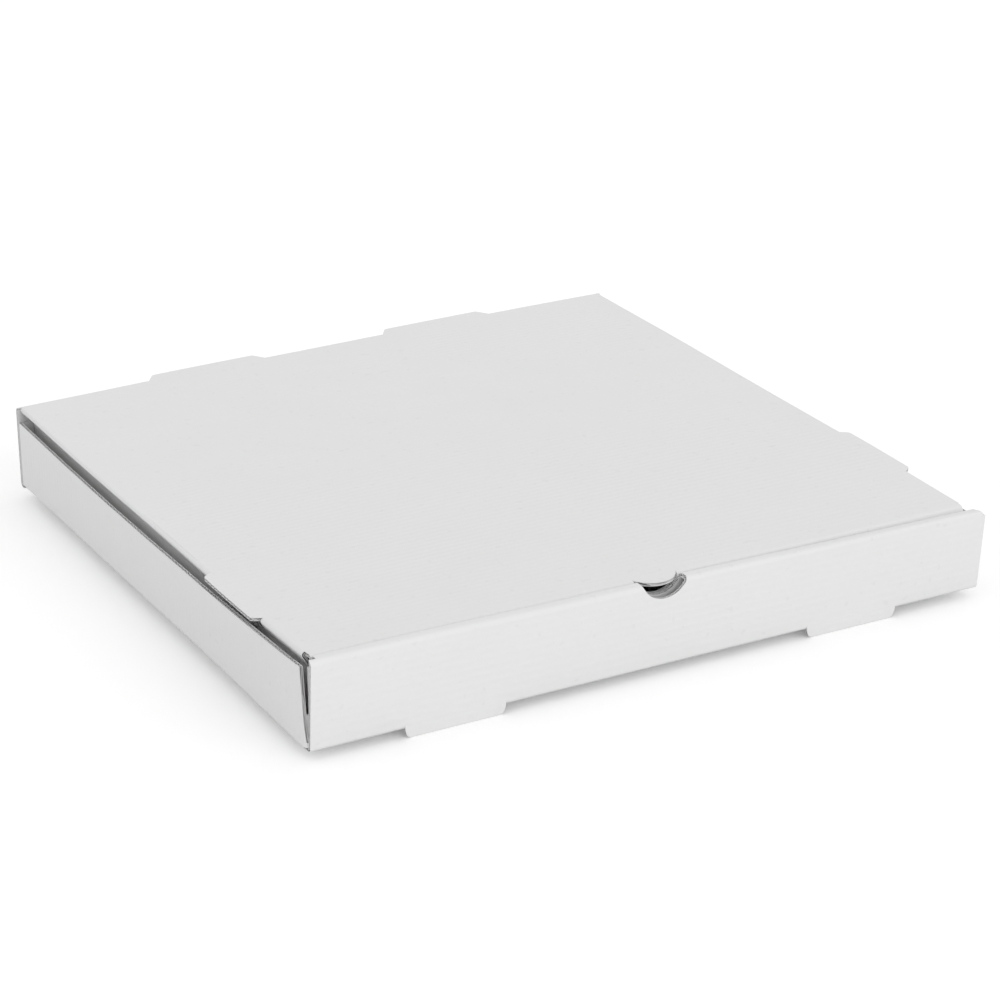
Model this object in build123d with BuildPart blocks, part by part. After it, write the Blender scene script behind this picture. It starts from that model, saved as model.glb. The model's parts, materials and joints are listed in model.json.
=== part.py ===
"""A flat folding box for a pizza: one die-cut sheet of thin corrugated board.

Millimetres, +Z up. X runs along the front wall, +Y points to the hinge at the back.
The origin is under the middle of the closed box, at the tips of the tabs it stands on.
The sheet is parted only along the hinge crease, into a tray and a lid.
"""
import os
from math import atan2, cos, hypot, radians, sin

from build123d import *

# ---- driving dimensions -------------------------------------------------
board = 1.6  # thickness of the corrugated sheet
fold_radius = 1.5  # middle of the sheet, at a plain crease
hinge_radius = 2.2  # middle of the sheet, at the lid's crease
lap_gap = 0.1  # between plies that are folded against each other
run_gap = 0.4  # between the lid and the tray

tray_width = 330.0
tray_depth = 330.0
side_height_front = 38.0
side_height_back = 34.0
strip_rise = 0.8  # flat top of the front wall above the lid's front edge
front_lean = 3.5  # how far the front wall leans out at its top
strip_width = 7.0  # flat top of the doubled front wall
corner_flap = 60.0
corner_flap_drop = 1.0  # flap's top edge below the side wall's top edge
corner_flap_lift = 0.3  # flap's lower edge above the floor

lid_rise_back = 12.5  # lid's upper face above the side walls' top edges
lid_rise_front = 0.6
strip_gap = 0.5  # between the front wall's flat top and the lid's front crease
flap_foot_gap = 1.5  # between the inner front panel and the lid's front flap, at its foot
flap_floor_gap = 4.0  # between the lid's flaps and the floor
flap_side_gap = 1.4  # between the lid's front flap and its side flaps
side_flap_back = 9.0  # where the lid's side flaps end, before the back wall

foot_tab_spacing = 196.0  # two tabs under the front wall
foot_tab_root = 50.0
foot_tab_tip = 41.5
foot_tab_length = 5.9
foot_tab_tilt = 20.0  # pushed in by the box's weight
back_tab_spacing = 128.0  # two tabs behind the hinge
back_tab_root = 63.0
back_tab_tip = 53.5
back_tab_length = 7.0
vent_clearance = 0.33  # around the swing of the back tabs, in the holes that they leave
vent_root_gap = 0.4  # each side of a back tab's root and tip
vent_tip_gap = 1.2
side_tab_root = 54.0  # one tab on each side of the lid
side_tab_tip = 47.0
side_tab_length = 6.0
side_tab_place = 74.0  # middle of the side tabs behind the front wall
tab_corner = 2.5  # rounding of every tab's corners

notch_width = 22.0  # thumb notch through the front wall
notch_depth = 7.5
tongue_side_gap = 0.25  # half-moon on the lid, inside the notch
tongue_tip_gap = 0.7
hinge_gap = 0.3  # slit that stands for the hinge crease

# ---- places worked out from them ----------------------------------------
fold_out = fold_radius + board / 2
hinge_out = hinge_radius + board / 2
lid_height_back = side_height_back + lid_rise_back  # lid's upper face above the tray's underside
lid_height_front = side_height_front + lid_rise_front
front_height = lid_height_front + strip_rise
lid_flap_height = lid_height_front - board - flap_floor_gap
lid_setback = strip_width - front_lean + strip_gap  # behind the front wall's lower edge
front_flap_foot = 3 * board + 2 * lap_gap + flap_foot_gap
side_flap_front = front_flap_foot + board + flap_side_gap
tongue_width = notch_width - 2 * tongue_side_gap
tongue_length = notch_depth - tongue_tip_gap
back_tab_swing = hypot(back_tab_length - hinge_out - hinge_gap / 2, hinge_out + hinge_gap)
vent_depth = back_tab_swing + vent_clearance

underside = foot_tab_length * cos(radians(foot_tab_tilt))
floor_top = underside + board
back_overhang = back_tab_length - hinge_out
front_face = -(tray_depth + back_overhang - front_lean) / 2
back_face = front_face + tray_depth
strip_top = underside + front_height
flap_ply = front_face + board + lap_gap  # outer face of the front corner flaps
inner_foot = flap_ply + board + lap_gap  # outer face of the inner front panel, at its foot
inner_lean = inner_foot - (front_face - front_lean + strip_width - board)

hinge_z = underside + lid_height_back - hinge_out - hinge_gap
hinge_y = back_face + hinge_gap / 2
lid_width = tray_width - 2 * (board + run_gap)
lid_front = front_face + lid_setback
lid_back_z = underside + lid_height_back
lid_front_z = underside + lid_height_front
lid_run = hypot(back_face - lid_front, lid_back_z - lid_front_z)
lid_slope = atan2(lid_back_z - lid_front_z, back_face - lid_front)
lid_plane = Plane(
    origin=(0, lid_front, lid_front_z), x_dir=(1, 0, 0), z_dir=(0, -sin(lid_slope), cos(lid_slope))
)
os.makedirs("parts", exist_ok=True)


def front_plane(angle):
    """The front wall's outer face through its lower crease, leaning out by this many radians."""
    return Plane(
        origin=(0, front_face, underside), x_dir=(1, 0, 0), z_dir=(0, -cos(angle), -sin(angle))
    )


def tab_outline(root, tip, length, root_lap):
    """A tab seen flat: its root on the X axis, tapering to a rounded tip at +Y."""
    with BuildSketch() as outline:
        with BuildLine():
            Polyline(
                (-root / 2, -root_lap),
                (-root / 2, 0),
                (-tip / 2, length),
                (tip / 2, length),
                (root / 2, 0),
                (root / 2, -root_lap),
                close=True,
            )
        make_face()
        tip_corners = outline.vertices().group_by(Axis.Y)[-1]
        fillet(tip_corners, radius=min(tab_corner, length / 3))
    return outline.sketch


def half_moon(width, depth):
    """A circle whose chord of this width stands this far above the circle's lowest point."""
    radius = ((width / 2) ** 2 + depth**2) / (2 * depth)
    return radius, radius - depth


notch_radius, notch_rise = half_moon(notch_width, notch_depth)
tongue_radius, tongue_rise = half_moon(tongue_width, tongue_length)
foot_slot = tab_outline(foot_tab_root, foot_tab_tip, foot_tab_length + lap_gap, board)
foot_tab = tab_outline(foot_tab_root, foot_tab_tip, foot_tab_length, lap_gap).rotate(Axis.Z, 180)
back_tab = tab_outline(back_tab_root, back_tab_tip, back_tab_length, board)
vent_root = back_tab_root + 2 * vent_root_gap
vent_tip = back_tab_tip + 2 * vent_tip_gap
vent = tab_outline(vent_root, vent_tip, vent_depth, board).rotate(Axis.Z, 180)
side_tab = tab_outline(side_tab_root, side_tab_tip, side_tab_length, board)

# ---- tray ---------------------------------------------------------------
with BuildPart() as tray:
    # floor and side walls, folded up along two creases
    wall_x = tray_width / 2 - board / 2
    wall_height = max(side_height_front, side_height_back)
    bend_y = flap_ply + fold_out
    with BuildSketch(Plane.XZ.offset(-bend_y)):
        with BuildLine():
            FilletPolyline(
                (-wall_x, underside + wall_height),
                (-wall_x, underside + board / 2),
                (wall_x, underside + board / 2),
                (wall_x, underside + wall_height),
                radius=fold_radius,
            )
        trace(line_width=board)
    extrude(amount=-(back_face - board - lap_gap - fold_out - bend_y))

    # corner flaps, folded in at both ends of each side wall
    flap_foot = floor_top + corner_flap_lift
    flap_rise = wall_height - corner_flap_drop - board
    for side in (-1, 1):
        for ply, inward, lean in (
            (flap_ply + board / 2, 1, inner_lean / front_height),
            (back_face - board - lap_gap - board / 2, -1, 0),
        ):
            with BuildSketch(Plane.XY.offset(flap_foot)):
                with BuildLine():
                    FilletPolyline(
                        (side * wall_x, ply + inward * 3 * fold_out),
                        (side * wall_x, ply),
                        (side * (wall_x - corner_flap), ply),
                        radius=fold_radius,
                    )
                trace(line_width=board)
            extrude(amount=flap_rise, dir=(0, -lean, 1))

    # the side walls' top edges fall towards the hinge
    with BuildSketch(Plane.YZ):
        with BuildLine():
            Polyline(
                (front_face - board, underside + side_height_front),
                (back_face, underside + side_height_back),
                (back_face, underside + 2 * wall_height),
                (front_face - board, underside + 2 * wall_height),
                close=True,
            )
        make_face()
    extrude(amount=tray_width, both=True, mode=Mode.SUBTRACT)

    # doubled front wall: outer panel, flat strip and inner panel in one ply
    with BuildSketch(Plane.YZ.offset(-tray_width / 2)):
        with BuildLine():
            FilletPolyline(
                (bend_y + lap_gap, underside + board / 2),
                (front_face + board / 2, underside + board / 2),
                (front_face - front_lean + board / 2, strip_top - board / 2),
                (front_face - front_lean + strip_width - board / 2, strip_top - board / 2),
                (inner_foot + board / 2, floor_top + lap_gap),
                radius=fold_radius,
            )
        trace(line_width=board)
    extrude(amount=tray_width)

    # back wall up to the hinge crease
    with BuildSketch(Plane.YZ.offset(-tray_width / 2)):
        with BuildLine():
            FilletPolyline(
                (back_face - board - lap_gap - fold_out - lap_gap, underside + board / 2),
                (back_face - board / 2, underside + board / 2),
                (back_face - board / 2, hinge_z - hinge_gap / 2),
                radius=fold_radius,
            )
        trace(line_width=board)
    extrude(amount=tray_width)

    # foot tabs stay in the front wall and leave slots in the floor
    for side in (-1, 1):
        with BuildSketch(Plane.XY.offset(underside)):
            with Locations((side * foot_tab_spacing / 2, front_face)):
                add(foot_slot)
        extrude(amount=fold_out, mode=Mode.SUBTRACT)
        with BuildSketch(front_plane(atan2(front_lean, front_height))):
            with Locations((side * foot_tab_spacing / 2, fold_out)):
                Rectangle(foot_tab_root, 2 * fold_out)
        extrude(amount=-board)
        with BuildSketch(front_plane(radians(foot_tab_tilt))):
            with Locations((side * foot_tab_spacing / 2, 0)):
                add(foot_tab)
        extrude(amount=-board)
        # the inner panel's own tab locks into the slot
        with BuildSketch(Plane.XZ.offset(-inner_foot)):
            with Locations((side * foot_tab_spacing / 2, underside + board)):
                Rectangle(foot_tab_tip - 2 * board, 2 * board)
        extrude(amount=-board)

    # thumb notch through both plies of the front wall
    with BuildSketch(Plane.XZ):
        with Locations((0, strip_top + notch_rise)):
            Circle(notch_radius)
    extrude(amount=tray_depth, mode=Mode.SUBTRACT)

    # vents that the back tabs leave in the back wall
    for side in (-1, 1):
        with BuildSketch(Plane.XZ.offset(-back_face + 2 * board)):
            with Locations((side * back_tab_spacing / 2, hinge_z)):
                add(vent)
        extrude(amount=-3 * board, mode=Mode.SUBTRACT)

tray.part.label = "tray"
export_step(tray.part, "parts/tray.step")

# ---- lid ----------------------------------------------------------------
with BuildPart() as lid:
    # top panel with the bend that comes up from the hinge
    panel_width = lid_width - board
    with BuildSketch(Plane.YZ.offset(-panel_width / 2)):
        with BuildLine():
            FilletPolyline(
                (back_face - board / 2, hinge_z + hinge_gap / 2),
                (back_face - board / 2, lid_back_z - board / 2),
                (lid_front + fold_out, lid_front_z + fold_out * sin(lid_slope) - board / 2),
                radius=hinge_radius,
            )
        trace(line_width=board)
    extrude(amount=panel_width)

    # front flap, tucked behind the front wall
    flap_bottom = lid_front_z - lid_flap_height
    flap_width = lid_width - 2 * (board + run_gap)
    with BuildSketch(Plane.YZ.offset(-flap_width / 2)):
        with BuildLine():
            FilletPolyline(
                (lid_front + 2 * fold_out, lid_front_z + 2 * fold_out * sin(lid_slope) - board / 2),
                (lid_front + board / 2, lid_front_z - board / 2),
                (front_face + front_flap_foot + board / 2, flap_bottom),
                radius=fold_radius,
            )
        trace(line_width=board)
    extrude(amount=flap_width)

    # side flaps, tucked inside the side walls, at right angles to the sloping lid
    flap_x = lid_width / 2 - board / 2
    side_start = side_flap_front - lid_setback
    side_end = lid_run - side_flap_back
    side_plane = Plane(
        origin=lid_plane.from_local_coords((0, side_start, 0)),
        x_dir=(1, 0, 0),
        z_dir=(0, -cos(lid_slope), -sin(lid_slope)),
    )
    with BuildSketch(side_plane):
        with BuildLine():
            FilletPolyline(
                (-flap_x, -lid_flap_height),
                (-flap_x, -board / 2),
                (flap_x, -board / 2),
                (flap_x, -lid_flap_height),
                radius=fold_radius,
            )
        trace(line_width=board)
    extrude(amount=-(side_end - side_start))

    # back tabs: the bend is cut away and the tab runs on in the lid's plane
    back_crease = lid_run - hinge_out
    for side in (-1, 1):
        place = (side * back_tab_spacing / 2, back_crease)
        with BuildSketch(lid_plane):
            with Locations(place):
                Rectangle(back_tab_root, 2 * hinge_out, align=(Align.CENTER, Align.MIN))
        extrude(amount=-lid_height_back / 2, mode=Mode.SUBTRACT)
        with BuildSketch(lid_plane):
            with Locations(place):
                add(back_tab)
        extrude(amount=-board)

    # side tabs: the same on both side creases
    side_crease = lid_width / 2 - fold_out
    for side in (-1, 1):
        place = (side * side_crease, side_tab_place - lid_setback)
        with BuildSketch(lid_plane):
            with Locations(place):
                Rectangle(2 * fold_out, side_tab_root, align=(Align.MIN if side > 0 else Align.MAX, Align.CENTER))
        extrude(amount=-side_tab_length, mode=Mode.SUBTRACT)
        with BuildSketch(lid_plane):
            with Locations(place):
                add(side_tab.rotate(Axis.Z, -90 * side))
        extrude(amount=-board)

    # tongue over the thumb notch, cut out of the front flap
    with BuildSketch(lid_plane):
        with Locations((0, fold_out)):
            Rectangle(tongue_width, 3 * fold_out, align=(Align.CENTER, Align.MAX))
    extrude(amount=-tongue_length, mode=Mode.SUBTRACT)
    with BuildSketch(lid_plane):
        with Locations((0, fold_out + tongue_rise)):
            Circle(tongue_radius)
        with Locations((0, fold_out + board)):
            Rectangle(3 * tongue_width, 3 * tongue_width, align=(Align.CENTER, Align.MIN), mode=Mode.SUBTRACT)
    extrude(amount=-board)

lid.part.label = "lid"
export_step(lid.part, "parts/lid.step")
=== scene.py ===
"""A closed pizza box folded from one sheet of thin white corrugated board.

Every panel is built as the board is made: two paper liners with a fluted paper between them,
swept along the fold lines of the CAD tray and lid, and then let sag. Metres, in the CAD frame.
"""

import json
from math import atan2, ceil, cos, hypot, pi, radians, sin, tan

import bmesh
import bpy
from mathutils import Matrix, Vector, noise


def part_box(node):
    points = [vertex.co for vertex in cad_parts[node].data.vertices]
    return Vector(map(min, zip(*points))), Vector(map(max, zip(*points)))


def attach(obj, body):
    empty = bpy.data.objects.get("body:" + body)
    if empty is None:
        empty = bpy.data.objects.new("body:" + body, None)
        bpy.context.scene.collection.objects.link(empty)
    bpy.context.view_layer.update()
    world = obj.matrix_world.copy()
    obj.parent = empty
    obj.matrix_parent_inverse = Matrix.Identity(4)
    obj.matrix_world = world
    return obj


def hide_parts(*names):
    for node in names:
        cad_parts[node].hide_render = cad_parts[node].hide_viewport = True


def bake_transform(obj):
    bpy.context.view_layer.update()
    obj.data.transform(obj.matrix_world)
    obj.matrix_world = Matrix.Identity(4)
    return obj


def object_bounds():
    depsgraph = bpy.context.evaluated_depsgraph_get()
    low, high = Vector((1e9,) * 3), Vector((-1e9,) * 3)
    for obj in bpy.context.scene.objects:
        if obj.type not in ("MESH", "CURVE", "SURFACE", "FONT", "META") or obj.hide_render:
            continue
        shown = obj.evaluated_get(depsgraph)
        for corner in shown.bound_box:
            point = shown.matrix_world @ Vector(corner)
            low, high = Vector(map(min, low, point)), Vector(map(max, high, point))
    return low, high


MM = 0.001

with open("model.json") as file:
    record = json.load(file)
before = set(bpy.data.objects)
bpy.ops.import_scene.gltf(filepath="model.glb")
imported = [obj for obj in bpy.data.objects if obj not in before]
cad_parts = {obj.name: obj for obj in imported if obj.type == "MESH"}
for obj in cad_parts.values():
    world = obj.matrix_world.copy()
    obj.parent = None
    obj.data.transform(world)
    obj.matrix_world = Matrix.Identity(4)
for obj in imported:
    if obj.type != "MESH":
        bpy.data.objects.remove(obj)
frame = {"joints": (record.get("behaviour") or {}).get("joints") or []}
cad_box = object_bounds()
hinge = frame["joints"][0]["pos_m"]
tray_low, tray_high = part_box("tray")

# ---- the board ------------------------------------------------------------
BOARD = 1.6 * MM
LINER = 0.24 * MM
FLUTE_PAPER = 0.28 * MM
FLUTE_PITCH = 3.6 * MM
FOLD_RADIUS = 1.5 * MM  # middle of the board, as the other radii of folds
HINGE_RADIUS = 2.2 * MM
CORNER_RADIUS = 0.85 * MM
SIDE_FOLD_RADIUS = 0.7 * MM
KNEE_RADIUS = 7 * MM

# ---- how finely curves are cut into flat facets -------------------------------
WAVE_STEPS = 8  # in one flute
BEND_STEPS = 7  # in one fold
CORNER_STEPS = 6  # in one rounded corner of an outline
MOON_STEPS = 64  # in the full circle of a half-moon cut
TONGUE_STEPS = 24
GRAIN = 24 * MM  # longest flat facet along a panel

# ---- sizes that are the same in the CAD tray and lid ----------------------------
LAP_GAP = 0.1 * MM
RUN_GAP = 0.4 * MM
HINGE_GAP = 0.3 * MM
WIDTH = tray_high.x - tray_low.x
DEPTH = 330 * MM
FRONT_HEIGHT = 39.4 * MM
FRONT_LEAN = 3.5 * MM
STRIP = 7 * MM
CORNER_FLAP = 60 * MM
LID_HEIGHT = (38.6 * MM, 46.5 * MM)
LID_SETBACK = 4 * MM
LID_FLAP = 33 * MM
FLAP_FOOT = 6.5 * MM
SIDE_FLAP_FRONT = 9.5 * MM
BACK_TAB = {"spacing": 128 * MM, "root": 63 * MM, "tip": 53.5 * MM, "length": 7 * MM}
VENT_DEPTH = 5.4 * MM
NOTCH = (22 * MM, 7.5 * MM)
TONGUE = (21.5 * MM, 6.8 * MM)

# ---- sizes of the board as it is really cut and folded ---------------------------
WALL_FRONT = 34.6 * MM  # side walls, at the front and at the back of each
WALL_BACK = {-1: 37.8 * MM, 1: 34 * MM}
WALL_SAG = 1.3 * MM  # how far a side wall's top dips in the middle
FRONT_SHIFT = 1.2 * MM  # the front wall sits a little to the right
STRIP_CORNER = 2.6 * MM
STRIP_BEHIND = 1.4 * BOARD  # at its ends only this much of the strip is left
INNER_END = 3.2 * MM  # how far the strip's back part and the inner panel stop short
HOLLOW = {"foot": 4 * MM, "low": 2.2 * MM, "high": 5.4 * MM, "deep": 2.6 * MM}
FOOT_TAB = {"spacing": 196 * MM, "root": 46.6 * MM, "tip": 44.4 * MM}
FOOT_CORNER = 2.8 * MM
SIDE_TAB = {"root": 54 * MM, "tip": 48 * MM, "length": 6 * MM, "place": 76 * MM}
SIDE_TAB_TRIM = 1.7 * MM  # the tabs stop over the middle of the side walls
TAB_CORNER = 2.0 * MM
SIDE_INSET = {-1: 0.6 * MM, 1: 0.3 * MM}  # the lid's side creases inside its full width
SIDE_FLAP_BACK = 3.9 * MM
SIDE_FLAP_LEAN = radians(29)  # the side flaps spring in under the lid, then hang straighter
SIDE_FLAP_KNEE = 9 * MM
SIDE_FLAP_FOOT = 2 * MM  # how much further in a side flap's foot is than its knee
LID_BEVEL = 0.2 * MM
CREASE_LAP = 2.5 * MM  # how far the hinge crease reaches down the back wall

# ---- how the board has given way ---------------------------------------------------
CORNER_SINK = 5 * MM  # how far the lid's left back corner has sunk
LID_SAG = 1.7 * MM  # and its left edge sags between the corners
LID_FLARE = 2.2 * MM  # the lid widens to the tray's full width at that corner
FLARE_EASE = 4 * MM
FLARE_RISE = 1.4  # its growth towards the back; 1 would start it at the front
LID_SKEW = 1.5 * MM  # the lid's front edge stands back at the right end
SKEW_REACH = 60 * MM
FRONT_TWIST = 1.2 * MM  # the front wall's top stands up at the left and sinks at the right
FRONT_DIP = 1.5 * MM  # how far the front edge hangs below the floor
FRONT_REACH = 80 * MM  # both fade out this far behind the front wall
STRIP_TILT = 1.7 * MM  # how far the strip's back edge has sunk at the right end
BOW = 0.35 * MM  # how far the panels wander from flat
BOW_SPAN = 90 * MM
BOW_SEED = 7  # the noise would otherwise be drawn from the clock
BOW_START = 10 * MM  # full bow in height only this far above the floor
SHARP = radians(50)

# ---- places worked out from them --------------------------------------------
fold_out = FOLD_RADIUS + BOARD / 2
hinge_out = HINGE_RADIUS + BOARD / 2
back_face = hinge[1] - HINGE_GAP / 2
front_face = back_face - DEPTH
underside = hinge[2] - (LID_HEIGHT[1] - hinge_out - HINGE_GAP)
floor_top = underside + BOARD
front_lean = atan2(FRONT_LEAN, FRONT_HEIGHT)
FOOT_TAB["length"] = underside - FRONT_DIP
strip_top = underside + FRONT_HEIGHT
flap_ply = front_face + BOARD + LAP_GAP
inner_foot = flap_ply + BOARD + LAP_GAP
bend_y = flap_ply + fold_out
wall_x = WIDTH / 2 - BOARD / 2
lid_width = WIDTH - 2 * (BOARD + RUN_GAP)
lid_front = front_face + LID_SETBACK
lid_front_z = underside + LID_HEIGHT[0]
lid_back_z = underside + LID_HEIGHT[1]
flap_x = {side: lid_width / 2 - SIDE_INSET[side] - BOARD / 2 for side in (-1, 1)}
side_cut = SIDE_FOLD_RADIUS * tan((pi / 2 + SIDE_FLAP_LEAN) / 2)
lid_slope = atan2(lid_back_z - lid_front_z, back_face - lid_front)
lid_run = hypot(back_face - lid_front, lid_back_z - lid_front_z)

# the fold lines lie in one of these planes and are swept along its third axis
ALONG_X = Matrix(((0, 0, 1, 0), (1, 0, 0, 0), (0, 1, 0, 0), (0, 0, 0, 1)))
ALONG_Y = Matrix(((1, 0, 0, 0), (0, 0, 1, 0), (0, 1, 0, 0), (0, 0, 0, 1)))
ALONG_Z = Matrix.Identity(4)
LID_FRAME = Matrix.Translation((0, lid_front, lid_front_z)) @ Matrix.Rotation(lid_slope, 4, "X")


# ---- fold lines ---------------------------------------------------------------
class FoldLine:
    """The middle of the board seen from its edge: straight runs joined by bends."""

    def __init__(self, corners, *radii):
        self.parts = []
        here = Vector(corners[0])
        points = [Vector(c) for c in corners]
        radii = list(radii) + [FOLD_RADIUS] * len(corners)
        for before, corner, after, radius in zip(points, points[1:], points[2:], radii):
            heading = (corner - before).normalized()
            leaving = (after - corner).normalized()
            turn = atan2(heading.x * leaving.y - heading.y * leaving.x, heading.dot(leaving))
            cut = radius * tan(abs(turn) / 2)
            start = corner - heading * cut
            self.parts.append((here, heading, (start - here).length, 0))
            self.parts.append((start, heading, radius * abs(turn), 1 / radius if turn > 0 else -1 / radius))
            here = corner + leaving * cut
        heading = (points[-1] - points[-2]).normalized()
        self.parts.append((here, heading, (points[-1] - here).length, 0))
        self.length = sum(part[2] for part in self.parts)

    def at(self, distance):
        """The point at this distance, and the way out of the board's outer face there."""
        for start, heading, length, curl in self.parts:
            if distance <= length or (start, heading, length, curl) == self.parts[-1]:
                break
            distance -= length
        side = Vector((-heading.y, heading.x))
        if curl == 0:
            return start + heading * distance, side
        angle = distance * curl
        centre = start + side / curl
        point = centre - side * (cos(angle) / curl) + heading * (sin(angle) / curl)
        return point, side * cos(angle) - heading * sin(angle)

    def stations(self):
        """Distances that give each bend its facets and each run a few."""
        marks = [0.0]
        for start, heading, length, curl in self.parts:
            count = BEND_STEPS if curl else max(1, ceil(length / GRAIN))
            first = marks[-1]
            if length > MM / 100:
                marks += [first + length * (i + 1) / count for i in range(count)]
        return marks


def spread(low, high, step):
    """Evenly spaced values from low to high, no further apart than step."""
    count = max(1, ceil((high - low) / step))
    return [low + (high - low) * i / count for i in range(count + 1)]


# ---- paper layers ---------------------------------------------------------------
def paper(line, place, across, along, at, lift, flutes):
    """A closed sheet of paper: a flat slab of quads, bent onto the fold line.

    at(a, b) gives (distance on the fold line, distance along the sweep), lift(a) the height of the
    middle of the sheet above the middle of the board, and flutes(a, b) the place across and along
    the flutes.
    """
    thickness = FLUTE_PAPER if lift is wave else LINER
    bm = bmesh.new()
    bmesh.ops.create_grid(bm, x_segments=len(across) - 1, y_segments=len(along) - 1, size=1)
    done = bmesh.ops.extrude_face_region(bm, geom=bm.faces[:])
    fresh = [g for g in done["geom"] if isinstance(g, bmesh.types.BMVert)]
    bmesh.ops.translate(bm, verts=fresh, vec=(0, 0, 1))
    bmesh.ops.recalc_face_normals(bm, faces=bm.faces)
    layer = bm.loops.layers.uv.new("flutes")
    for vert in bm.verts:
        a = across[round((vert.co.x + 1) / 2 * (len(across) - 1))]
        b = along[round((vert.co.y + 1) / 2 * (len(along) - 1))]
        for loop in vert.link_loops:
            loop[layer].uv = flutes(a, b)
        distance, sweep = at(a, b)
        point, out = line.at(distance)
        spot = point + out * (lift(a) + thickness * (vert.co.z - 0.5))
        vert.co = place @ Vector((spot.x, spot.y, sweep))
    if bm.calc_volume(signed=True) < 0:
        bmesh.ops.reverse_faces(bm, faces=bm.faces)
    return bm


def wave(distance):
    """Height of the fluted paper at this distance across the flutes."""
    return (BOARD / 2 - LINER - FLUTE_PAPER / 2) * sin(2 * pi * distance / FLUTE_PITCH)


def board(line, place, low, high, flutes_run, cuts=()):
    """The three papers of one panel, as meshes in the order outer liner, inner liner, flutes.

    flutes_run is "sweep" where the flutes lie along the sweep, "fold" where they cross the folds.
    """
    sweep = spread(low, high, GRAIN)
    marks = line.stations()
    skin = BOARD / 2 - LINER / 2
    fine = FLUTE_PITCH / WAVE_STEPS
    lengthwise = flutes_run == "sweep"
    flutes = (lambda a, b: (a, b)) if lengthwise else (lambda a, b: (b, a))
    layers = []
    for height in (skin, -skin):
        flat = lambda a, h=height: h
        layers.append(paper(line, place, marks, sweep, lambda a, b: (a, b), flat, flutes))
    if lengthwise:
        core = paper(line, place, spread(0, line.length, fine), sweep, lambda a, b: (a, b), wave, flutes)
    else:
        across = spread(low, high, fine)
        core = paper(line, place, across, marks, lambda a, b: (b, a), wave, lambda a, b: (a, b))
    layers.append(core)
    meshes = []
    for bm in layers:
        mesh = bpy.data.meshes.new("paper")
        bm.to_mesh(mesh)
        bm.free()
        for operation, cutter in cuts:
            mesh = boolean(mesh, operation, cutter)
        meshes.append(mesh)
    return meshes


def boolean(mesh, operation, cutter):
    """The mesh with a cutter taken from it, or kept only inside the cutter."""
    piece = bpy.data.objects.new("cut", mesh)
    bpy.context.scene.collection.objects.link(piece)
    change = piece.modifiers.new("cut", "BOOLEAN")
    change.operation = operation
    change.solver = "MANIFOLD"
    change.object = cutter
    bpy.context.view_layer.update()
    ready = piece.evaluated_get(bpy.context.evaluated_depsgraph_get())
    result = bpy.data.meshes.new_from_object(ready)
    bpy.data.objects.remove(piece)
    return result


# ---- die-cut outlines -----------------------------------------------------------
cutters = []


def rounded(points, radii):
    """A closed outline whose corners are rounded, each by its own radius."""
    outline = []
    count = len(points)
    for i, corner in enumerate(points):
        here = Vector(corner)
        into = (here - Vector(points[i - 1])).normalized()
        out = (Vector(points[(i + 1) % count]) - here).normalized()
        if radii[i] == 0:
            outline.append(here)
            continue
        turn = atan2(into.x * out.y - into.y * out.x, into.dot(out))
        cut = radii[i] * tan(abs(turn) / 2)
        side = Vector((-into.y, into.x)) * (1 if turn > 0 else -1)
        centre = here - into * cut + side * radii[i]
        for k in range(CORNER_STEPS + 1):
            angle = abs(turn) * k / CORNER_STEPS
            outline.append(centre - side * (radii[i] * cos(angle)) + into * (radii[i] * sin(angle)))
    return outline


def tab_points(tab, lap, corner=TAB_CORNER):
    """A tab's outline and corner radii: root on the first axis, tip at +length."""
    root, tip, length = tab["root"] / 2, tab["tip"] / 2, tab["length"]
    points = [(root, -lap), (root, 0), (tip, length), (-tip, length), (-root, 0), (-root, -lap)]
    return points, [0, 0, corner, corner, 0, 0]


def half_moon(width, depth):
    """Radius of an arc of this chord and depth, and its centre's height above the chord."""
    radius = ((width / 2) ** 2 + depth**2) / (2 * depth)
    return radius, radius - depth


def prism(outline, place, low, high):
    """A closed cutter: a flat outline in place's first two axes, extruded along its third."""
    bm = bmesh.new()
    verts = [bm.verts.new(place @ Vector((p[0], p[1], low))) for p in outline]
    face = bm.faces.new(verts)
    done = bmesh.ops.extrude_face_region(bm, geom=[face], use_keep_orig=True)
    moved = [g for g in done["geom"] if isinstance(g, bmesh.types.BMVert)]
    way = place.to_3x3() @ Vector((0, 0, high - low))
    bmesh.ops.translate(bm, verts=moved, vec=way)
    bmesh.ops.recalc_face_normals(bm, faces=bm.faces)
    mesh = bpy.data.meshes.new("cutter")
    bm.to_mesh(mesh)
    bm.free()
    cutter = bpy.data.objects.new("cutter", mesh)
    bpy.context.scene.collection.objects.link(cutter)
    cutters.append(cutter)
    return cutter


def half_moon_cut(size, top):
    """A round cutter through a front panel: a half-moon of this width and depth below top."""
    radius, rise = half_moon(*size)
    turns = [2 * pi * i / MOON_STEPS for i in range(MOON_STEPS)]
    circle = [(radius * cos(turn), radius * sin(turn)) for turn in turns]
    hole = Matrix.Translation((0, 0, top + rise)) @ Matrix.Rotation(pi / 2, 4, "X")
    return prism(circle, hole, -DEPTH, DEPTH)


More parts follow.
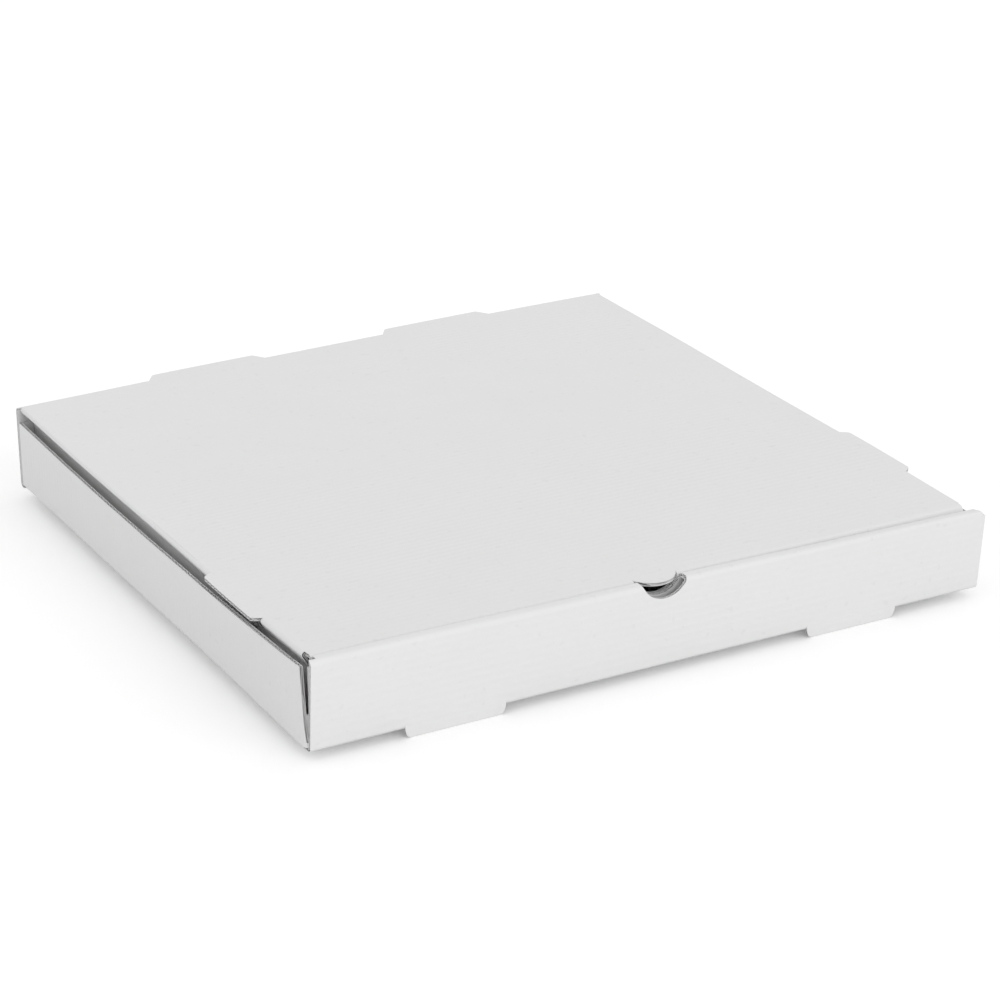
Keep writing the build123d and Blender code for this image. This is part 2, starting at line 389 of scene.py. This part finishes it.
# ---- tray -------------------------------------------------------------------------
def front_wall():
    """Outer panel, flat strip and inner panel in one ply, with the thumb notch."""
    line = FoldLine(
        [
            (bend_y, underside + BOARD / 2),
            (front_face + BOARD / 2, underside + BOARD / 2),
            (front_face - FRONT_LEAN + BOARD / 2, strip_top - BOARD / 2),
            (front_face - FRONT_LEAN + STRIP - BOARD / 2, strip_top - BOARD / 2),
            (inner_foot + BOARD / 2, floor_top + LAP_GAP),
        ]
    )
    notch = half_moon_cut(NOTCH, strip_top)
    low, high = FRONT_SHIFT - WIDTH / 2, FRONT_SHIFT + WIDTH / 2
    # the inner panel stands between the side walls, so its ends and the strip's are cut back
    behind = front_face - FRONT_LEAN + STRIP_BEHIND
    inner = [(behind, strip_top + MM), (behind, strip_top - 2 * BOARD), (flap_ply + BOARD, floor_top)]
    inner += [(bend_y + BOARD, floor_top), (bend_y + BOARD, strip_top + MM)]
    spans = ((-WIDTH, low + INNER_END), (high - INNER_END, WIDTH))
    ends = [prism(inner, ALONG_X, *span) for span in spans]
    cuts = [notch, foot_slot(-1), foot_slot(1), *ends, strip_corner(WIDTH / 2)]
    return board(line, ALONG_X, low, high, "sweep", [("DIFFERENCE", c) for c in cuts])


def strip_corner(end):
    """The rounded corner at the right end of the front wall's top."""
    centre = Vector((end - STRIP_CORNER, strip_top - STRIP_CORNER))
    outline = [(end + BOARD, centre.y), (end + BOARD, strip_top + BOARD), (centre.x, strip_top + BOARD)]
    for i in range(CORNER_STEPS + 1):
        angle = pi / 2 * (1 - i / CORNER_STEPS)
        outline.append(tuple(centre + STRIP_CORNER * Vector((cos(angle), sin(angle)))))
    return prism(outline, Matrix.Rotation(pi / 2, 4, "X"), -DEPTH, DEPTH)


def foot_slot(side):
    """The hole in the floor and in the front crease that a foot tab leaves."""
    points, radii = tab_points(FOOT_TAB, BOARD)
    place = Matrix.Translation((side * FOOT_TAB["spacing"] / 2, front_face, 0))
    return prism(rounded(points, radii), place, -BOARD, underside + fold_out)


def foot_tab(side):
    """A tab that runs straight down from the front wall past its crease."""
    skin = BOARD / 2
    start = (front_face + skin * cos(front_lean), underside + skin * sin(front_lean))
    rise, drop = fold_out, FOOT_TAB["length"]
    top = (start[0] - rise * sin(front_lean), start[1] + rise * cos(front_lean))
    tip = (start[0] + drop * tan(front_lean), start[1] - drop)
    line = FoldLine([tip, top])
    points, radii = tab_points(FOOT_TAB, fold_out + BOARD, FOOT_CORNER)
    centre = side * FOOT_TAB["spacing"] / 2
    place = Matrix.Translation((centre, 0, start[1])) @ Matrix.Rotation(-pi / 2, 4, "X")
    outline = prism(rounded(points, radii), place, front_face - DEPTH, front_face + DEPTH)
    half = FOOT_TAB["root"] / 2
    return board(line, ALONG_X, centre - half, centre + half, "sweep", [("INTERSECT", outline)])


def lock_tab(side):
    """The inner panel's tab in the floor's slot."""
    top = (inner_foot + BOARD / 2, floor_top + LAP_GAP)
    line = FoldLine([top, (inner_foot + BOARD / 2, underside)])
    centre = side * FOOT_TAB["spacing"] / 2
    half = FOOT_TAB["tip"] / 2 - BOARD
    return board(line, ALONG_X, centre - half, centre + half, "sweep")


def floor_and_sides():
    """Floor and side walls, one ply folded along two creases; the walls fall towards the back."""
    top = underside + max(WALL_FRONT, *WALL_BACK.values()) + BOARD
    foot = underside + BOARD / 2
    line = FoldLine([(wall_x, top), (wall_x, foot), (-wall_x, foot), (-wall_x, top)])
    cutter_kinds = (foot_slot, wall_trim, corner_hollow)
    cuts = [("DIFFERENCE", kind(side)) for kind in cutter_kinds for side in (-1, 1)]
    return board(line, ALONG_Y, bend_y, back_face - BOARD - LAP_GAP - fold_out, "fold", cuts)


def wall_trim(side):
    """What is cut off above a side wall and its corner flaps."""
    front, back = (front_face, underside + WALL_FRONT), (back_face, underside + WALL_BACK[side])
    middle = ((front[0] + back[0]) / 2, (front[1] + back[1]) / 2 - WALL_SAG)
    outline = [front, middle, back, (back_face, lid_back_z), (front_face, lid_back_z)]
    return prism(outline, ALONG_X, *sorted((0, side * WIDTH)))


def corner_hollow(side):
    """The gap behind the front wall's end, widest at the top of the side wall."""
    low, high = underside + HOLLOW["foot"], underside + WALL_FRONT + BOARD
    outline = [(front_face - MM, low), (front_face + HOLLOW["low"], low)]
    outline += [(front_face + HOLLOW["high"], high), (front_face - MM, high)]
    return prism(outline, ALONG_X, *sorted((side * (WIDTH / 2 - HOLLOW["deep"]), side * WIDTH)))


def back_wall():
    """Back wall up to the hinge crease, with the vents that the back tabs leave."""
    line = FoldLine(
        [
            (back_face - BOARD / 2, hinge[2] - CREASE_LAP),
            (back_face - BOARD / 2, underside + BOARD / 2),
            (back_face - BOARD - LAP_GAP - fold_out, underside + BOARD / 2),
        ]
    )
    vent = {"root": BACK_TAB["root"] + 2 * RUN_GAP, "tip": BACK_TAB["tip"] + 6 * RUN_GAP}
    vent["length"] = VENT_DEPTH
    holes = []
    for side in (-1, 1):
        centre = side * BACK_TAB["spacing"] / 2
        place = Matrix.Translation((centre, 0, hinge[2])) @ Matrix.Rotation(-pi / 2, 4, "X")
        points, radii = tab_points(vent, BOARD)
        holes.append(("DIFFERENCE", prism(rounded(points, radii), place, 0, DEPTH)))
    return board(line, ALONG_X, -WIDTH / 2, WIDTH / 2, "sweep", holes)


def corner_flap(side, back):
    """A flap folded in from the end of a side wall."""
    ply = back_face - BOARD - LAP_GAP - BOARD / 2 if back else flap_ply + BOARD / 2
    inward = -1 if back else 1
    bend_end = ply + inward * (FOLD_RADIUS + LAP_GAP)
    path = [(side * (wall_x - CORNER_FLAP), ply), (side * wall_x, ply), (side * wall_x, bend_end)]
    if (side < 0) == back:
        path.reverse()
    foot = floor_top + 3 * LAP_GAP
    height = WALL_BACK[side] if back else WALL_FRONT
    corner = [("DIFFERENCE", wall_trim(side))]
    if not back:
        corner.append(("DIFFERENCE", corner_hollow(side)))
    return board(FoldLine(path, CORNER_RADIUS), ALONG_Z, foot, underside + height + MM, "sweep", corner)


# ---- lid ---------------------------------------------------------------------------
def lid_outline():
    """The lid's top panel as it is cut: back tabs, side tabs and the tongue."""
    half = lid_width / 2 - BOARD / 2
    tip = lid_width / 2 - fold_out + SIDE_TAB["length"] - SIDE_TAB_TRIM
    end = lid_run - SIDE_FLAP_BACK
    place = SIDE_TAB["place"] - LID_SETBACK
    back = lid_run - hinge_out

    def edge(side):
        crease = flap_x[side] - side_cut
        run = [(crease - LID_BEVEL, fold_out), (crease, SIDE_FLAP_FRONT - LID_SETBACK)]
        run += [(crease, place - SIDE_TAB["root"] / 2)]
        run += [(tip, place - SIDE_TAB["tip"] / 2), (tip, place + SIDE_TAB["tip"] / 2)]
        run += [(crease, place + SIDE_TAB["root"] / 2), (crease, end), (half, back)]
        return [((side * x, y), TAB_CORNER if i in (3, 4) else 0) for i, (x, y) in enumerate(run)]

    corners = edge(1)
    for side in (1, -1):
        centre = side * BACK_TAB["spacing"] / 2
        root, tab = BACK_TAB["root"] / 2, BACK_TAB["tip"] / 2
        far = back + BACK_TAB["length"]
        corners += [((centre + root, back), 0), ((centre + tab, far), TAB_CORNER)]
        corners += [((centre - tab, far), TAB_CORNER), ((centre - root, back), 0)]
    corners += reversed(edge(-1))
    outline = rounded([point for point, radius in corners], [radius for point, radius in corners])
    radius, rise = half_moon(*TONGUE)
    reach = atan2(TONGUE[0] / 2, rise)
    for i in range(TONGUE_STEPS + 1):
        angle = -reach + 2 * reach * i / TONGUE_STEPS
        outline.append(Vector((radius * sin(angle), fold_out + rise - radius * cos(angle))))
    return outline


def lid_top():
    """The lid's top panel with every tab, cut by one outline."""
    reach = BACK_TAB["length"] + TONGUE[1]
    line = FoldLine([(-reach, -BOARD / 2), (lid_run + reach, -BOARD / 2)])
    outline = prism(lid_outline(), LID_FRAME, -2 * BOARD, BOARD)
    side = lid_width / 2 + SIDE_TAB["length"]
    return board(line, LID_FRAME @ ALONG_X, -side, side, "sweep", [("INTERSECT", outline)])


def lid_front_flap():
    """The flap tucked behind the front wall, with the hole that the tongue leaves."""
    foot = (front_face + FLAP_FOOT + BOARD / 2, lid_front_z - LID_FLAP)
    inside = LID_FRAME @ Vector((0, fold_out, -BOARD / 2))
    line = FoldLine([foot, (lid_front + BOARD / 2, lid_front_z - BOARD / 2), (inside.y, inside.z)])
    cut = half_moon_cut(TONGUE, lid_front_z)
    low, high = side_cut + LID_BEVEL - flap_x[-1], flap_x[1] - side_cut - LID_BEVEL
    return board(line, ALONG_X, low, high, "sweep", [("DIFFERENCE", cut)])


def lid_side_flap(side):
    """A flap tucked inside a side wall, with the hole that the side tab leaves."""
    fold = flap_x[side]
    knee = (fold - SIDE_FLAP_KNEE * sin(SIDE_FLAP_LEAN), -SIDE_FLAP_KNEE * cos(SIDE_FLAP_LEAN))
    path = [(fold - side_cut, -BOARD / 2), (fold, -BOARD / 2), knee]
    path.append((knee[0] - SIDE_FLAP_FOOT, -LID_FLAP))
    radii = [SIDE_FOLD_RADIUS, KNEE_RADIUS]
    if side < 0:
        path = [(-x, z) for x, z in reversed(path)]
        radii.reverse()
    place = Matrix.Translation((0, SIDE_TAB["place"] - LID_SETBACK, -BOARD / 2 - FOLD_RADIUS))
    turned = LID_FRAME @ place @ Matrix.Rotation(pi / 2, 4, "Y") @ Matrix.Rotation(-pi / 2, 4, "Z")
    hole = dict(SIDE_TAB, length=SIDE_TAB["length"] - FOLD_RADIUS)
    points, corners = tab_points(hole, 2 * fold_out)
    cut = prism(rounded(points, corners), turned, -WIDTH, WIDTH)
    start, end = SIDE_FLAP_FRONT - LID_SETBACK, lid_run - BOARD - RUN_GAP
    top = underside + WALL_BACK[side] + CORNER_SINK
    stop = back_face - SIDE_FLAP_BACK
    beyond = back_face + DEPTH
    relief = prism([(stop, 0), (stop, top), (beyond, top), (beyond, 0)], ALONG_X, -WIDTH, WIDTH)
    cuts = [("DIFFERENCE", cut), ("DIFFERENCE", relief)]
    return board(FoldLine(path, *radii), LID_FRAME @ ALONG_Y, start, end, "fold", cuts)


def hinge_crease():
    """The bend between the back wall and the lid, in three lengths beside the back tabs."""
    inside = LID_FRAME @ Vector((0, lid_run - hinge_out, -BOARD / 2))
    corner = LID_FRAME @ Vector((0, lid_run - BOARD / 2, -BOARD / 2))
    foot = (back_face - BOARD / 2, hinge[2] - CREASE_LAP)
    line = FoldLine([(inside.y, inside.z), (back_face - BOARD / 2, corner.z), foot], HINGE_RADIUS)
    inner = BACK_TAB["spacing"] / 2 - BACK_TAB["root"] / 2
    outer = BACK_TAB["spacing"] / 2 + BACK_TAB["root"] / 2
    meshes = []
    for low, high in ((-WIDTH / 2, -outer), (-inner, inner), (outer, (lid_width - BOARD) / 2)):
        meshes += board(line, ALONG_X, low, high, "sweep")
    return meshes


# ---- materials -----------------------------------------------------------------------
SPECK_LEVEL = 0.76  # only noise above this makes a speck
SPECK_EDGE = 30.0  # how sharply a speck begins
SPECK_DEPTH = 0.035
SHEEN_SWING = 0.3  # how much the mottle changes the roughness
NOISE = {"broad": 35.0, "fine": 420.0, "speck": 310.0, "drift": 30.0, "patch": 18.0}


def node_group(name, inputs, outputs):
    """An empty shader group with float or vector inputs (name, kind, value) and named outputs."""
    group = bpy.data.node_groups.new(name, "ShaderNodeTree")
    for label, kind, value in inputs:
        socket = group.interface.new_socket(label, in_out="INPUT", socket_type=kind)
        if value is not None:
            socket.default_value = value
    for label in outputs:
        group.interface.new_socket(label, in_out="OUTPUT", socket_type="NodeSocketFloat")
    return group, group.nodes.new("NodeGroupInput"), group.nodes.new("NodeGroupOutput")


def math(tree, operation, *values):
    """The output of a Math node; each value is a number or a socket."""
    node = tree.nodes.new("ShaderNodeMath")
    node.operation = operation
    for socket, value in zip(node.inputs, values):
        if isinstance(value, (int, float)):
            socket.default_value = value
        else:
            tree.links.new(value, socket)
    return node.outputs[0]


def noise_at(tree, vector, scale, detail=2.0):
    """The value of a Noise texture of this scale at a place."""
    node = tree.nodes.new("ShaderNodeTexNoise")
    node.inputs["Scale"].default_value = scale
    node.inputs["Detail"].default_value = detail
    tree.links.new(vector, node.inputs["Vector"])
    return node.outputs["Fac"]


def paper_grain():
    """Mottled tone about 0, sparse specks from 0 to 1, and the height of the fibres."""
    sockets = [("Vector", "NodeSocketVector", None), ("Fibre", "NodeSocketFloat", 1400.0)]
    group, inside, outside = node_group("paper_grain", sockets, ("Mottle", "Specks", "Fibres"))
    place = inside.outputs["Vector"]
    broad = noise_at(group, place, NOISE["broad"], 3.0)
    fine = noise_at(group, place, NOISE["fine"], 4.0)
    both = math(group, "ADD", math(group, "MULTIPLY", broad, 0.6), math(group, "MULTIPLY", fine, 0.7))
    group.links.new(math(group, "SUBTRACT", both, 0.65), outside.inputs["Mottle"])
    fleck = noise_at(group, place, NOISE["speck"], 0.0)
    dots = math(group, "MULTIPLY", math(group, "SUBTRACT", fleck, SPECK_LEVEL), SPECK_EDGE)
    dots = math(group, "MINIMUM", math(group, "MAXIMUM", dots, 0.0), 1.0)
    group.links.new(dots, outside.inputs["Specks"])
    fibre = group.nodes.new("ShaderNodeTexNoise")
    fibre.inputs["Detail"].default_value = 3.0
    group.links.new(place, fibre.inputs["Vector"])
    group.links.new(inside.outputs["Fibre"], fibre.inputs["Scale"])
    group.links.new(fibre.outputs["Fac"], outside.inputs["Fibres"])
    return group


def washboard():
    """How far the flutes show through the liner: a low wave across them, stronger here and there."""
    sockets = [("UV", "NodeSocketVector", None), ("Vector", "NodeSocketVector", None)]
    group, inside, outside = node_group("washboard", sockets, ("Height",))
    apart = group.nodes.new("ShaderNodeSeparateXYZ")
    group.links.new(inside.outputs["UV"], apart.inputs[0])
    place = inside.outputs["Vector"]
    drift = math(group, "MULTIPLY", noise_at(group, place, NOISE["drift"]), 1.5)
    angle = math(group, "ADD", math(group, "MULTIPLY", apart.outputs["X"], 2 * pi / FLUTE_PITCH), drift)
    patchy = math(group, "MULTIPLY", noise_at(group, place, NOISE["patch"]), 1.2)
    patchy = math(group, "ADD", patchy, 0.2)
    group.links.new(math(group, "MULTIPLY", math(group, "SINE", angle), patchy), outside.inputs["Height"])
    return group


def paper_material(name, colour, roughness, mottle, wave_depth, fibre_depth):
    """Matt paper: mottled colour, fibres and, where wave_depth isn't 0, the flutes showing through."""
    material = bpy.data.materials.new(name)
    material.use_nodes = True
    tree = material.node_tree
    shader = tree.nodes["Principled BSDF"]
    place = tree.nodes.new("ShaderNodeTexCoord")
    grain = tree.nodes.new("ShaderNodeGroup")
    grain.node_tree = PAPER_GRAIN
    tree.links.new(place.outputs["Object"], grain.inputs["Vector"])
    shade = math(tree, "MULTIPLY", grain.outputs["Mottle"], mottle)
    specks = math(tree, "MULTIPLY", grain.outputs["Specks"], SPECK_DEPTH)
    shade = math(tree, "ADD", math(tree, "SUBTRACT", shade, specks), 1.0)
    tint = tree.nodes.new("ShaderNodeVectorMath")
    tint.operation = "SCALE"
    tint.inputs[0].default_value = colour
    tree.links.new(shade, tint.inputs["Scale"])
    tree.links.new(tint.outputs[0], shader.inputs["Base Color"])
    matt = math(tree, "MULTIPLY", grain.outputs["Mottle"], SHEEN_SWING)
    tree.links.new(math(tree, "ADD", matt, roughness), shader.inputs["Roughness"])
    fibres = tree.nodes.new("ShaderNodeBump")
    fibres.inputs["Distance"].default_value = fibre_depth
    tree.links.new(grain.outputs["Fibres"], fibres.inputs["Height"])
    if wave_depth:
        ribs = tree.nodes.new("ShaderNodeGroup")
        ribs.node_tree = WASHBOARD
        tree.links.new(place.outputs["UV"], ribs.inputs["UV"])
        tree.links.new(place.outputs["Object"], ribs.inputs["Vector"])
        low = tree.nodes.new("ShaderNodeBump")
        low.inputs["Distance"].default_value = wave_depth
        tree.links.new(ribs.outputs["Height"], low.inputs["Height"])
        tree.links.new(low.outputs["Normal"], fibres.inputs["Normal"])
    tree.links.new(fibres.outputs["Normal"], shader.inputs["Normal"])
    return material


# ---- pieces --------------------------------------------------------------------------
def settled(spot):
    """Where a point of the trued-up box lies once the board has given way under its own weight."""
    leftness = min(1, max(0, 0.5 - spot.x / WIDTH))
    backness = min(1, max(0, (spot.y - lid_front) / (back_face - lid_front)))
    height = max(0, (spot.z - floor_top) / (lid_back_z - floor_top))
    sink = CORNER_SINK * leftness**1.5 * backness * height
    sink += LID_SAG * leftness**3 * backness**0.7 * (1 - backness) * 4 * min(1, height)
    near_front = max(0, 1 - (spot.y - front_face) / FRONT_REACH)
    twist = FRONT_TWIST * (2 * leftness - 1) * min(1, near_front) * height
    dip = FRONT_DIP * min(1, near_front) * (1 - min(1, height))
    to_back = max(0, (spot.y - front_face) / DEPTH * FLARE_RISE + 1 - FLARE_RISE)
    above = min(1, max(0, (spot.z - underside - WALL_BACK[-1]) / CORNER_SINK))
    outward = max(0, min(-2 * spot.x / WIDTH, (WIDTH / 2 + spot.x) / FLARE_EASE))
    flare = LID_FLARE * outward * min(1, to_back) * above
    skew = tilt = 0
    if spot.y < lid_front - RUN_GAP:
        behind = min(1, max(0, (spot.y - front_face + FRONT_LEAN) / STRIP))
        tilt = STRIP_TILT * max(0, 1 - 2 * leftness) * behind * min(1, height)
    else:
        upper = min(1, max(0, (spot.z - lid_front_z + 2 * BOARD) / BOARD))
        near_edge = max(0, 1 - (spot.y - lid_front) / SKEW_REACH)
        skew = LID_SKEW * max(0, 1 - 2 * leftness) * near_edge * upper
    bow = noise.noise_vector(spot / BOW_SPAN) * BOW
    bow.z *= min(1, max(0, (spot.z - underside) / BOW_START))
    place = spot + bow + Vector((-flare, skew, twist - sink - dip - tilt))
    return Vector(min(high, max(low, c)) for c, low, high in zip(place, *cad_box))


def join(name, panels):
    """One object of all the papers of these panels; every third mesh is a fluted one."""
    bm = bmesh.new()
    for i, mesh in enumerate(panels):
        first = len(bm.faces)
        bm.from_mesh(mesh)
        bm.faces.ensure_lookup_table()
        for face in bm.faces[first:]:
            face.material_index = 1 if i % 3 == 2 else 0
    for vert in bm.verts:
        vert.co = settled(vert.co)
    for face in bm.faces:
        face.smooth = True
    for edge in bm.edges:
        edge.smooth = edge.is_manifold and edge.calc_face_angle() < SHARP
    mesh = bpy.data.meshes.new(name)
    bm.to_mesh(mesh)
    bm.free()
    piece = bpy.data.objects.new(name, mesh)
    bpy.context.scene.collection.objects.link(piece)
    piece.data.materials.append(LINER_WHITE)
    piece.data.materials.append(FLUTE_GREY)
    return piece


noise.seed_set(BOW_SEED)
PAPER_GRAIN = paper_grain()
WASHBOARD = washboard()
LINER_WHITE = paper_material("white_liner", (0.735, 0.735, 0.735), 0.72, 0.05, 0.03 * MM, 0.02 * MM)
FLUTE_GREY = paper_material("flute_paper", (0.6, 0.6, 0.595), 0.9, 0.25, 0, 0.04 * MM)

tray_panels = front_wall() + floor_and_sides() + back_wall()
for side in (-1, 1):
    tray_panels += foot_tab(side) + lock_tab(side)
    for back in (False, True):
        tray_panels += corner_flap(side, back)
tray_board = join("tray_board", tray_panels)

lid_panels = lid_top() + lid_front_flap()
for side in (-1, 1):
    lid_panels += lid_side_flap(side)
lid_board = join("lid_board", lid_panels)
crease_board = join("hinge_crease", hinge_crease())

for cutter in cutters:
    bpy.data.objects.remove(cutter)

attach(tray_board, "tray")
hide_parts("tray")
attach(lid_board, "lid")
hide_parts("lid")
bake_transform(crease_board)


# ---- floor, light and camera -----------------------------------------------------------
SKY_LIGHT = 0.93
LAMP_LIGHT = 0.66
LAMP_FROM = (0.07, -0.19, 0.07)
LAMP_SPREAD = radians(50)
FLOOR_BOUNCE = 0.9  # how white the floor is to the box
FLOOR_SEEN = 0.85  # and to the camera, which also sees its glow
FLOOR_GLOW = 0.2
FLOOR_HALF = 6
CAMERA_TURN = (radians(-28.43), radians(22.01), radians(-0.56))  # azimuth, elevation, roll
CAMERA_TARGET = (0.0054, -0.0137, 0.0261)
CAMERA_DISTANCE = 1.3547
CAMERA_LENS = 105.07


def floor_white():
    """A floor that looks white but lights the box as plain paper would, and keeps its shadow."""
    material = bpy.data.materials.new("studio_floor")
    material.use_nodes = True
    nodes, links = material.node_tree.nodes, material.node_tree.links
    shader = nodes["Principled BSDF"]
    shader.inputs["Roughness"].default_value = 1.0
    shader.inputs["Specular IOR Level"].default_value = 0.0
    rays = nodes.new("ShaderNodeLightPath")
    tone = nodes.new("ShaderNodeMapRange")
    tone.inputs["To Min"].default_value = FLOOR_BOUNCE
    tone.inputs["To Max"].default_value = FLOOR_SEEN
    links.new(rays.outputs["Is Camera Ray"], tone.inputs["Value"])
    links.new(tone.outputs["Result"], shader.inputs["Base Color"])
    glow = nodes.new("ShaderNodeMapRange")
    glow.inputs["To Max"].default_value = FLOOR_GLOW
    links.new(rays.outputs["Is Camera Ray"], glow.inputs["Value"])
    links.new(glow.outputs["Result"], shader.inputs["Emission Strength"])
    shader.inputs["Emission Color"].default_value = (1, 1, 1, 1)
    return material


def studio():
    """A white floor, an even sky and one broad soft lamp from the front left."""
    bm = bmesh.new()
    bmesh.ops.create_grid(bm, x_segments=1, y_segments=1, size=FLOOR_HALF)
    mesh = bpy.data.meshes.new("studio_floor")
    bm.to_mesh(mesh)
    bm.free()
    ground = bpy.data.objects.new("studio_floor", mesh)
    bpy.context.scene.collection.objects.link(ground)
    ground.data.materials.append(floor_white())
    world = bpy.data.worlds.new("studio")
    bpy.context.scene.world = world
    world.use_nodes = True
    nodes, links = world.node_tree.nodes, world.node_tree.links
    backdrop = nodes["Background"]
    backdrop.inputs["Color"].default_value = (1, 1, 1, 1)
    rays = nodes.new("ShaderNodeLightPath")
    seen = nodes.new("ShaderNodeMapRange")
    links.new(rays.outputs["Is Camera Ray"], seen.inputs["Value"])
    seen.inputs["To Min"].default_value = SKY_LIGHT
    seen.inputs["To Max"].default_value = 1.0
    links.new(seen.outputs["Result"], backdrop.inputs["Strength"])
    lamp = bpy.data.objects.new("broad_lamp", bpy.data.lights.new("broad_lamp", "SUN"))
    bpy.context.scene.collection.objects.link(lamp)
    lamp.data.energy = LAMP_LIGHT
    lamp.data.angle = LAMP_SPREAD
    lamp.rotation_mode = "QUATERNION"
    lamp.rotation_quaternion = Vector(LAMP_FROM).to_track_quat("Z", "Y")


def main_camera():
    """The camera stands to the left of the front and looks down on the lid."""
    azimuth, elevation, roll = CAMERA_TURN
    back = Vector((sin(azimuth) * cos(elevation), -cos(azimuth) * cos(elevation), sin(elevation)))
    right = (-back).cross(Vector((0, 0, 1))).normalized()
    up = right.cross(-back)
    camera = bpy.data.objects.new("camera", bpy.data.cameras.new("camera"))
    bpy.context.scene.collection.objects.link(camera)
    tilted_right = right * cos(roll) + up * sin(roll)
    tilted_up = up * cos(roll) - right * sin(roll)
    turn = Matrix((tilted_right, tilted_up, back)).transposed()
    camera.matrix_world = Matrix.Translation(Vector(CAMERA_TARGET) + back * CAMERA_DISTANCE) @ turn.to_4x4()
    camera.data.lens = CAMERA_LENS
    camera.data.sensor_width = 36
    bpy.context.scene.camera = camera


studio()
main_camera()
bpy.context.scene.view_settings.view_transform = "Standard"
